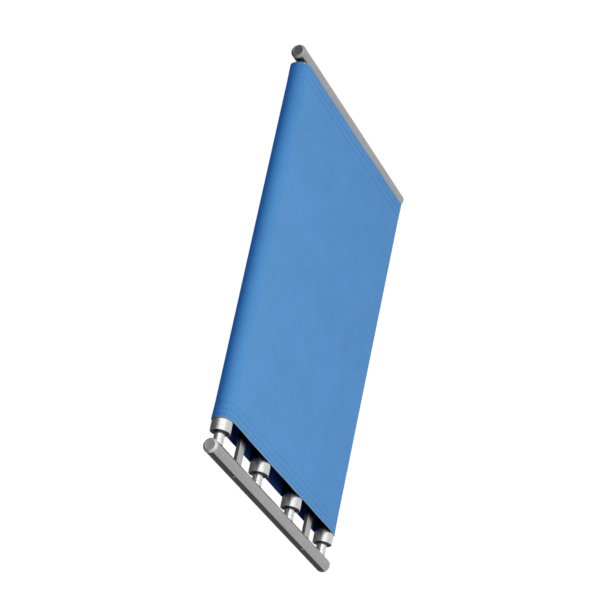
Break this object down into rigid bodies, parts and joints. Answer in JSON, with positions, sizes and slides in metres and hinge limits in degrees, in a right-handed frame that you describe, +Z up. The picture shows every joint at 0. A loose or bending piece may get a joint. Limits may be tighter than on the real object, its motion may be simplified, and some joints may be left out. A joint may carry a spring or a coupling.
{
  "type": "patient roller board",
  "caption": "Flat roller board for moving a lying person: an endless coated fabric sleeve runs round parallel rollers held between round end bars and flat struts.",
  "frame": {"origin": "on the floor under the middle of the frame, halfway between the end bars", "axes": "+X across the rollers, +Y along the rollers towards the far end bar, +Z up from the sleeve's lower run"},
  "size_m": [0.65, 0.863, 0.043],
  "materials": {
    "end_bar": "satin anodised, fine drawn lines along the bar",
    "bar_cap_near": "grey, satin",
    "bar_cap_far": "dark grey, satin",
    "channel_liner": "matt extruded rubber",
    "screw": "zinc plated",
    "strut": "satin, drawn",
    "axle": "ground",
    "spacer": "polished",
    "roller": "polished tube",
    "roller_plug": "black moulded",
    "bearing": "ground, shielded",
    "sleeve": "blue polyurethane-coated woven nylon, matt"
  },
  "bodies": {
    "frame": {"end_bar_near": "end_bar", "bar_cap_near_left": "bar_cap_near", "bar_cap_near_right": "bar_cap_near", "channel_liner_near": "channel_liner", "strut_screw_near_left": "screw", "strut_screw_near_right": "screw", "end_bar_far": "end_bar", "bar_cap_far_left": "bar_cap_far", "bar_cap_far_right": "bar_cap_far", "channel_liner_far": "channel_liner", "strut_screw_far_left": "screw", "strut_screw_far_right": "screw", "strut_left": "strut", "strut_right": "strut", "axle_1": "axle", "axle_spacer_1_near": "spacer", "axle_spacer_1_far": "spacer", "axle_2": "axle", "axle_spacer_2_near": "spacer", "axle_spacer_2_far": "spacer", "axle_3": "axle", "axle_spacer_3_near": "spacer", "axle_spacer_3_far": "spacer", "axle_4": "axle", "axle_spacer_4_near": "spacer", "axle_spacer_4_far": "spacer"},
    "sleeve": {"fabric_sleeve": "sleeve"},
    "roller_1": {"roller_tube_1": "roller", "roller_plug_1_near": "roller_plug", "bearing_1_near": "bearing", "roller_plug_1_far": "roller_plug", "bearing_1_far": "bearing"},
    "roller_2": {"roller_tube_2": "roller", "roller_plug_2_near": "roller_plug", "bearing_2_near": "bearing", "roller_plug_2_far": "roller_plug", "bearing_2_far": "bearing"},
    "roller_3": {"roller_tube_3": "roller", "roller_plug_3_near": "roller_plug", "bearing_3_near": "bearing", "roller_plug_3_far": "roller_plug", "bearing_3_far": "bearing"},
    "roller_4": {"roller_tube_4": "roller", "roller_plug_4_near": "roller_plug", "bearing_4_near": "bearing", "roller_plug_4_far": "roller_plug", "bearing_4_far": "bearing"}
  },
  "joints": [
    {"name": "roller_1_spin", "type": "hinge", "parent": "frame", "child": "roller_1", "pos_m": [-0.293, 0, 0.0215], "axis": [0, 1, 0], "continuous": true},
    {"name": "roller_2_spin", "type": "hinge", "parent": "frame", "child": "roller_2", "pos_m": [-0.085, 0, 0.0215], "axis": [0, 1, 0], "continuous": true},
    {"name": "roller_3_spin", "type": "hinge", "parent": "frame", "child": "roller_3", "pos_m": [0.098, 0, 0.0215], "axis": [0, 1, 0], "continuous": true},
    {"name": "roller_4_spin", "type": "hinge", "parent": "frame", "child": "roller_4", "pos_m": [0.293, 0, 0.0215], "axis": [0, 1, 0], "continuous": true},
    {"name": "sleeve_creep", "type": "slide", "parent": "frame", "child": "sleeve", "axis": [0, 1, 0], "range_m": [-0.04325, 0.00375]}
  ],
  "couplings": [
    {"joint": "roller_2_spin", "follows": "roller_1_spin", "ratio": 1},
    {"joint": "roller_3_spin", "follows": "roller_1_spin", "ratio": 1},
    {"joint": "roller_4_spin", "follows": "roller_1_spin", "ratio": 1}
  ]
}
